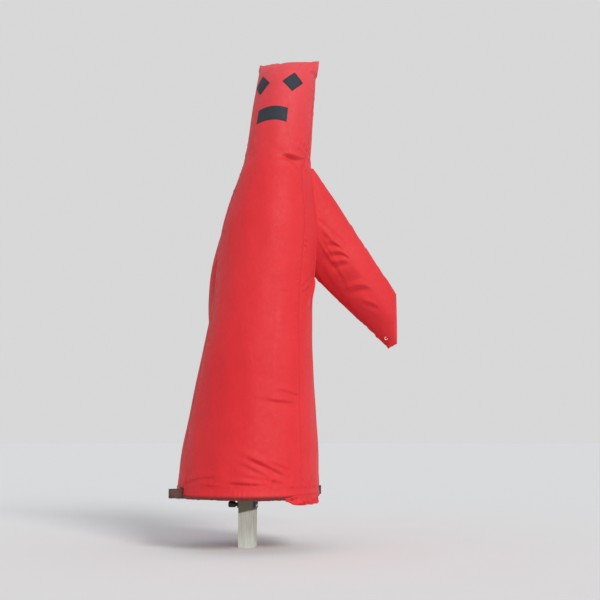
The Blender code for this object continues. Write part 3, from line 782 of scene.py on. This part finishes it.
def make_body():
    """The sock up to its neck, with a hole for each arm."""
    rows = 280
    heights = np.linspace(BODY_FOOT, NECK_SPLIT, rows)
    points = sock_point(sock_columns()[None, :], heights[:, None])
    keep = np.ones((rows - 1, COLUMNS), bool)
    for side in ARMS:
        inside = in_sleeve(side, points)
        all_in = inside & np.roll(inside, -1, axis=1)
        keep &= ~(all_in[:-1] & all_in[1:])
        turns = np.linspace(0, 2 * math.pi, 360, endpoint=False)
        rim = arm_plain(side, root_line(side, turns), turns)
        for r, c in zip(*np.nonzero(inside)):
            faces = keep[max(r - 1, 0) : r + 1, [c - 1, c]]
            if faces.any():
                gaps = np.linalg.norm(rim - points[r, c], axis=1)
                points[r, c] = rim[gaps.argmin()]
    body = grid_piece("sock_body", points, RED, wraps=True, keep=keep)
    thicken(body)
    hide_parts("skirt_front", "skirt_back", "waist_band", "torso_front", "torso_back")
    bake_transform(body)
    area = flat_area(BODY_FOOT, NECK_SPLIT)


def make_head():
    """The head, closed along the crown."""
    heights = np.concatenate([
        np.linspace(NECK_SPLIT, CROWN, 70, endpoint=False),
        HEAD_TOP - (HEAD_TOP - CROWN) * (1 - np.linspace(0, 1, 56)) ** 1.8,
    ])
    points = sock_point(sock_columns()[None, :], heights[:, None])
    head = grid_piece("sock_head", points, RED, wraps=True)
    thicken(head)
    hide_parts("neck_band", "head_front", "head_back")
    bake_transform(head)
    area = flat_area(NECK_SPLIT, HEAD_TOP)


# ---- what is sewn on ----


def make_side_seam(name, side, low, high, count):
    """The felled seam between the front and back panels."""
    heights = np.linspace(low, high, count)
    across = np.linspace(-0.5, 0.5, 7) * SEAM_WIDTH
    girth = smooth_through(GIRTH, heights)
    angles = side * seam_angle(heights)[:, None] + across[None, :] / girth[:, None]
    crown = 0.0011 * np.cos(math.pi * across / SEAM_WIDTH)[None, :] - 0.0003
    seam = grid_piece(name, sock_point(angles, heights[:, None], crown), RED_TAPE)
    thicken(seam, 0.0010)
    return seam


def make_crown_seam():
    """The seam allowance that stands up along the crown, gathered a little."""
    side = np.linspace(-1, 1, 200)
    angles = np.arcsin(side)
    top = sock_point(angles, np.full_like(angles, HEAD_TOP))
    back = sock_point(math.pi - angles, np.full_like(angles, HEAD_TOP))
    ridge = (top + back) / 2
    wave = 0.0012 * np.sin(46 * side + 1.5 * np.sin(13 * side))
    rows = []
    for level in np.linspace(0, 1, 5):
        row = ridge.copy()
        row[:, 1] += wave * level + 0.0006
        row[:, 2] += -0.006 + (0.0105 + 0.0012 * np.sin(31 * side)) * level
        rows.append(row)
    seam = grid_piece("crown_seam", np.array(rows), RED)
    thicken(seam, 0.0022, 0.0)
    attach(seam, "head")


def patch(name, place, rows, columns):
    """A sewn-on patch: place(s, t) gives (angle in degrees, height), s and t from -1 to 1."""
    s, t = np.meshgrid(np.linspace(-1, 1, columns), np.linspace(-1, 1, rows))
    angle, z = place(s, t)
    edge = np.maximum(np.abs(s), np.abs(t))
    lift = PATCH_LIFT + 0.0012 * (1 - ease((edge - 0.86) / 0.14))
    made = grid_piece(name, sock_point(np.radians(angle), z, lift), CHARCOAL)
    thicken(made, 0.0012)
    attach(made, "head")
    return made


def make_eye(side):
    """A diamond of dark cloth, sewn on."""
    angle, z = EYES[side]

    def diamond(s, t):
        return angle + EYE_HALF[0] * (s - t) / 2, z + EYE_HALF[1] * (s + t) / 2

    eye = patch(f"eye_{side}", diamond, 28, 28)
    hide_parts(f"eye_patch_{side}")
    patch_stitches(f"eye_stitches_{side}", diamond)


def make_mouth():
    """A bent bar of dark cloth, its ends drooping."""

    def frown(s, t):
        right, left = MOUTH_ANGLE
        low, high = MOUTH_Z
        angle = right + (left - right) * (s + 1) / 2
        return angle, low + (high - low) * (t + 1) / 2 - MOUTH_DROOP * s**2

    mouth = patch("mouth", frown, 24, 48)
    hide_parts("mouth_patch")
    patch_stitches("mouth_stitches", frown)


def stitch_line(name, path, mat, rides, count_pitch=0.0048, radius=0.00045):
    """A row of separate stitches along a line of points on the cloth."""
    path = np.asarray(path)
    along = np.concatenate([[0], np.cumsum(np.linalg.norm(np.diff(path, axis=0), axis=1))])
    count = max(2, int(along[-1] / count_pitch))
    verts, faces = [], []
    for i in range(count):
        at = (np.array([0.12, 0.30, 0.70, 0.88]) + i) / count * along[-1]
        line = np.stack([np.interp(at, along, path[:, k]) for k in range(3)], axis=1)
        way = line[-1] - line[0]
        way /= np.linalg.norm(way)
        side = np.cross(way, [0.3, 0.2, 0.93])
        side /= np.linalg.norm(side)
        up = np.cross(side, way)
        first = len(verts)
        for point, size in zip(line, (0.35, 1.0, 1.0, 0.35)):
            for k in range(5):
                turn = 2 * math.pi * k / 5
                verts.append(point + (side * math.cos(turn) + up * math.sin(turn)) * radius * size)
        for ring in range(3):
            for k in range(5):
                m = (k + 1) % 5
                low, high = first + 5 * ring, first + 5 * ring + 5
                faces.append((low + k, low + m, high + m, high + k))
        faces.append(tuple(first + k for k in range(4, -1, -1)))
        faces.append(tuple(first + 15 + k for k in range(5)))
    piece = new_piece(name, verts, faces, mat)
    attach(piece, rides)
    return piece


def patch_stitches(name, place, inset=0.90):
    """Stitches round a patch, a little inside its edge."""
    ends = [(-1, -1), (1, -1), (1, 1), (-1, 1), (-1, -1)]
    corners = []
    for (s0, t0), (s1, t1) in zip(ends, ends[1:]):
        share = np.linspace(0, 1, 24, endpoint=False)
        corners.append(np.stack([s0 + (s1 - s0) * share, t0 + (t1 - t0) * share], axis=1))
    line = np.concatenate(corners + [np.array([ends[-1]])]) * inset
    angle, z = place(line[:, 0], line[:, 1])
    path = sock_point(np.radians(angle), z, PATCH_LIFT + 0.0014)
    stitches = stitch_line(name, path, THREAD, "head")


# ---- the arms ----


def make_sleeve(side):
    """An arm, from the body's hole to the closed hand, with piping round its root."""
    columns, rows = 160, 140
    turns = np.linspace(0, 2 * math.pi, columns, endpoint=False)
    start = root_line(side, turns)
    share = np.linspace(0, 1, rows)
    reach = start[None, :] + (SLEEVE_END - start[None, :]) * share[:, None]
    points = arm_point(side, reach, turns[None, :] + 0 * reach)
    root = arm_plain(side, start, turns)
    points = blend_rows(points, root)
    sleeve = grid_piece(f"sleeve_cloth_{side}", points, RED, wraps=True)
    close_hand(sleeve, points[-1])
    thicken(sleeve)
    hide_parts(f"sleeve_{side}", f"shoulder_band_{side}")
    ends = arm_place(side, np.array([0.0, SLEEVE_FROM]))[0]
    ends[:, 2] = (ROOT_TOP + ROOT_BOTTOM) / 2
    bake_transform(sleeve)
    piping = tube_piece(f"root_piping_{side}", root, 0.0026, RED, closed=True)
    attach(piping, "torso")


def blend_rows(points, first):
    """Brings the first rows of a sleeve onto its root line."""
    out = points.copy()
    shift = first - points[0]
    for r in range(12):
        out[r] += shift * (1 - r / 12) ** 2
    return out


def close_hand(sleeve, ring):
    """Sews the sleeve's end shut."""
    middle = Vector(ring.mean(axis=0))
    with edited(sleeve) as made:
        edges = [e for e in made.edges if e.is_boundary]
        last = [e for e in edges if min((v.co - middle).length for v in e.verts) < 0.16]
        bmesh.ops.holes_fill(made, edges=last, sides=0)
        bmesh.ops.recalc_face_normals(made, faces=made.faces)


# ---- the hem ----


def hem_section(turn):
    """The hem's section, (out, up) from the hoop's middle: a drop with its tip up at the body."""
    angle = 2 * math.pi * turn - 0.5 * math.pi
    rise = np.clip(np.sin(angle), 0, 1) ** 2.2
    tip = smooth_through(GIRTH, HOOP_Z + HEM_TAIL) - HEM_CLOTH - HOOP_RADIUS
    out = HEM_ROUND * np.cos(angle) * (1 - 0.80 * rise) + tip * rise
    up = HEM_ROUND * np.sin(angle) + (HEM_TAIL - HEM_ROUND) * rise
    return out, up


def make_hem(name, start):
    """Half of the hem, gathered on the hoop between the bar's two ends."""
    clear = math.degrees((BAR_WIDTH / 2 + 0.006) / HOOP_RADIUS)
    angles = np.radians(np.linspace(start + clear, start + 180 - clear, 300))
    turns = np.linspace(0, 1, 36, endpoint=False)
    out, up = hem_section(turns[None, :])
    draw = np.random.default_rng(start)
    pleats = np.zeros((len(angles), len(turns)))
    for _ in range(70):
        at = draw.uniform(angles[0], angles[-1])
        lean = draw.uniform(-0.03, 0.03)
        line = at + lean * np.sin(2 * math.pi * turns[None, :])
        height, width = draw.uniform(0.0003, 0.0011), draw.uniform(0.012, 0.022)
        pleats += height * bell(angles[:, None] - line, width)
    slack = 0.0012 * waves(np.stack([np.cos(angles), np.sin(angles), 0 * angles], axis=-1), 0.3, 77)
    size = 1 + (pleats + slack[:, None]) / HEM_ROUND
    reach = HOOP_RADIUS + out * size
    z = HOOP_Z + up * np.where(up > 0, 1.0, size)
    points = np.stack([
        reach * np.cos(angles)[:, None], reach * np.sin(angles)[:, None], z + 0 * reach,
    ], axis=-1)
    hem = grid_piece(name, points[::-1], HEM_RED, wraps=True)
    thicken(hem, HEM_CLOTH)
    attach(hem, "swivel")
    return hem


def make_hem_stitches():
    """Two rows of stitches that close the hem on the hoop."""
    angles = np.linspace(-math.pi, math.pi, 1200)
    for row, above in enumerate((0.0025, 0.0085)):
        path = sock_point(angles, BODY_FOOT + above, 0.0003)
        line = stitch_line(f"hem_stitches_{row}", path, THREAD_RED, "swivel", 0.006, 0.0005)


def make_loose_tail():
    """The hem's loose tail: it lies over the roll, widens to the left and hangs crumpled below."""
    share = np.linspace(0, 1, 150)[None, :]
    level = np.linspace(0, 1, 40)[:, None]
    angle = np.radians(FLAP_ANGLE[0] + (FLAP_ANGLE[1] - FLAP_ANGLE[0]) * share)
    wide = 0.30 + 0.70 * ease(share / 0.30)
    high = HOOP_Z + 0.004 * wide - 0.010 * (1 - wide)
    low = HOOP_Z - HEM_ROUND - TAIL_DROP * wide * (1 - 0.25 * ease((share - 0.86) / 0.14))
    z = high + (low - high) * level + 0.0012 * np.sin(23 * share + 1.0) * level
    hang = ease((HOOP_Z - z) / 0.030)
    crumple = 0.0040 * np.sin(19 * share + 2.2 * level) + 0.0024 * np.sin(47 * share - 3.0 * level)
    crumple = crumple + 0.0022 * np.sin(8.0 * level + 6.0 * share)
    reach = HOOP_RADIUS + HEM_ROUND + 0.0042 + crumple * (0.25 + 0.75 * hang)
    points = np.stack([reach * np.sin(angle), -reach * np.cos(angle), z + 0 * reach], axis=-1)
    tail = grid_piece("loose_tail", points[::-1], RED)
    thicken(tail, 0.0009)
    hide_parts("hem_flap")
    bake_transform(tail)


# ---- the hard parts ----


def make_hoop():
    """The pipe hoop, open by a hair at the back where the spigot joins its ends."""
    angles = np.radians(np.linspace(90.06, 449.94, 220))
    path = np.stack([
        HOOP_RADIUS * np.cos(angles), HOOP_RADIUS * np.sin(angles), HOOP_Z + 0 * angles,
    ], axis=1)
    hoop = tube_piece("hoop_pipe", path, HOOP_TUBE, PIPE, sides=20)
    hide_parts("hoop")
    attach(hoop, "swivel")


def make_post():
    """The post, with softened arrises and a slightly uneven sawn surface."""
    low, high = (np.array(v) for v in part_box("post"))
    sides, rows = 88, 90
    turn = 2 * math.pi * (np.arange(sides) + 0.5) / sides
    half = (high[0] - low[0]) / 2
    roundness = 0.13
    x = np.sign(np.cos(turn)) * np.abs(np.cos(turn)) ** roundness
    y = np.sign(np.sin(turn)) * np.abs(np.sin(turn)) ** roundness
    ring = np.stack([x, y], axis=1) / np.maximum(np.abs(x), np.abs(y))[:, None]
    ring *= (1 - 0.028 * (np.minimum(np.abs(x), np.abs(y)) > 0.93))[:, None]
    heights = np.linspace(low[2], high[2], rows)
    points = np.zeros((rows, sides, 3))
    points[..., :2] = ring[None] * half
    points[..., 2] = heights[:, None]
    coarse = 0.00035 * waves(points, 0.020, 81, (1, 1, 6))
    fine = 0.0002 * waves(points, 0.006, 82, (1, 1, 14))
    points[..., :2] *= 1 - np.abs(coarse + fine)[..., None] / half
    for r, inset in ((0, 0.0020), (1, 0.0006), (rows - 2, 0.0006), (rows - 1, 0.0020)):
        points[r, :, :2] *= 1 - inset / half
    post = grid_piece("post_timber", points, POST_WOOD, wraps=True)
    close_ends(post)
    post.data.set_sharp_from_angle(angle=math.radians(38))
    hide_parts("post")
    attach(post, "pole")


def make_eyelet():
    """The small plated eyelet near the left hand's lower corner."""
    place = arm_point("left", np.array([0.347]), np.array([1.335 * math.pi]))[0]
    turn = np.linspace(0, 2 * math.pi, 28, endpoint=False)
    leaves = ARMS["left"][1]
    way = np.array([math.cos(math.radians(leaves)), math.sin(math.radians(leaves)), 0.0])
    circle = np.cos(turn)[:, None] * way + np.sin(turn)[:, None] * np.array([0, 0, 1.0])
    ring = place + EYELET[0] * circle
    ring[:, 1] -= 0.001
    eyelet = tube_piece("hand_eyelet", ring, EYELET[1], BRASS, closed=True, sides=10)
    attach(eyelet, "arm_left")


def dress_cad():
    """Gives the CAD nodes that stay their materials."""
    finishes = {
        "saddle_bracket": BLACK_PAINT, "spindle": ZINC, "clamp_bolt": ZINC, "knob_washer": ZINC,
        "clamp_knob": PLASTIC, "thrust_washer": NYLON, "crossbar": BAR_WOOD, "swivel_bush": NYLON,
        "top_washer": ZINC, "lock_nut": ZINC, "hoop_spigot": ZINC, "keeper_left": ZINC,
        "keeper_right": ZINC,
    }
    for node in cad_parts:
        if node.startswith("keeper_screw"):
            finishes[node] = ZINC
    for node, mat in finishes.items():
        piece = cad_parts[node]
        if not piece.material_slots:
            piece.data.materials.append(mat)
        for slot in piece.material_slots:
            slot.material = mat


# ---- the picture ----


def make_camera():
    """Low, a little to the figure's left, and looking up."""
    turn, away, tall = math.radians(15), 4.2, 0.47
    camera = bpy.data.objects.new("camera", bpy.data.cameras.new("camera"))
    bpy.context.scene.collection.objects.link(camera)
    camera.location = (away * math.sin(turn), -away * math.cos(turn), tall)
    camera.data.lens = 54.8
    camera.data.sensor_width = 36
    target = (0.2382, 0.0071, 1.1086)
    aim = Vector(target) - camera.location
    camera.rotation_mode = "QUATERNION"
    camera.rotation_quaternion = aim.to_track_quat("-Z", "Y")
    bpy.context.scene.camera = camera


def soft_sun(name, toward, strength, spread, color):
    """A broad, even light from one direction."""
    light = bpy.data.lights.new(name, "SUN")
    light.energy = strength
    light.angle = math.radians(spread)
    light.color = color
    lamp = bpy.data.objects.new(name, light)
    bpy.context.scene.collection.objects.link(lamp)
    lamp.location = Vector(toward) * 5
    lamp.rotation_mode = "QUATERNION"
    lamp.rotation_quaternion = Vector(toward).to_track_quat("Z", "Y")


def make_studio():
    """A pale floor, a white surround and soft lamps, the main one high on the figure's left."""
    turns = np.linspace(0, 2 * math.pi, 120, endpoint=False)
    rim = FLOOR_REACH * np.stack([np.cos(turns), np.sin(turns), 0 * turns], axis=1)
    floor = new_piece("floor", rim, [tuple(range(len(rim)))], floor_paint())
    light_surround()
    soft_sun("key", (0.62, -0.62, 0.62), 1.38, 22, (1.0, 0.98, 0.95))
    soft_sun("low_fill", (0.55, -0.83, 0.12), 0.36, 40, (1.0, 0.98, 0.96))
    bpy.context.scene.view_settings.view_transform = "Standard"


def light_surround():
    """A white surround that lights the object softly and a little cool."""
    world = bpy.data.worlds.new("surround")
    bpy.context.scene.world = world
    world.use_nodes = True
    tree = world.node_tree
    soft = tree.nodes["Background"]
    soft.inputs["Color"].default_value = (0.93, 0.96, 1.0, 1.0)
    soft.inputs["Strength"].default_value = 0.50
    white = tree.nodes.new("ShaderNodeBackground")
    white.inputs["Strength"].default_value = 0.855
    seen = tree.nodes.new("ShaderNodeLightPath")
    share = tree.nodes.new("ShaderNodeMixShader")
    tree.links.new(seen.outputs["Is Camera Ray"], share.inputs[0])
    tree.links.new(soft.outputs[0], share.inputs[1])
    tree.links.new(white.outputs[0], share.inputs[2])
    tree.links.new(share.outputs[0], tree.nodes["World Output"].inputs["Surface"])


def floor_paint():
    n = Nodes("floor_paint")
    mottle = n.noise(n.object_place(), 3.0, 3.0)
    shade = n.mix(mottle, rgba(0.93, 0.93, 0.93), rgba(0.95, 0.95, 0.95))
    return n.finish(shade, 0.9, Specular_IOR_Level=0.0)


# ---- the assembly ----

def make_sock():
    make_body()
    make_head()
    for name, side in (("left", 1), ("right", -1)):
        seam = make_side_seam(f"body_seam_{name}", side, BODY_FOOT + 0.004, NECK_SPLIT, 420)
        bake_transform(seam)
        seam = make_side_seam(f"head_seam_{name}", side, NECK_SPLIT, HEAD_TOP - 0.012, 130)
        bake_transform(seam)
    make_crown_seam()
    make_eye("left")
    make_eye("right")
    make_mouth()
    for side in ARMS:
        make_sleeve(side)


def build():
    make_camera()
    make_studio()
    dress_cad()
    make_sock()
    back = make_hem("hem_back_cloth", BAR_YAW)
    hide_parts("hem_back")
    front = make_hem("hem_front_cloth", BAR_YAW + 180)
    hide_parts("hem_front")
    make_hem_stitches()
    make_loose_tail()
    make_hoop()
    make_post()
    make_eyelet()


build()
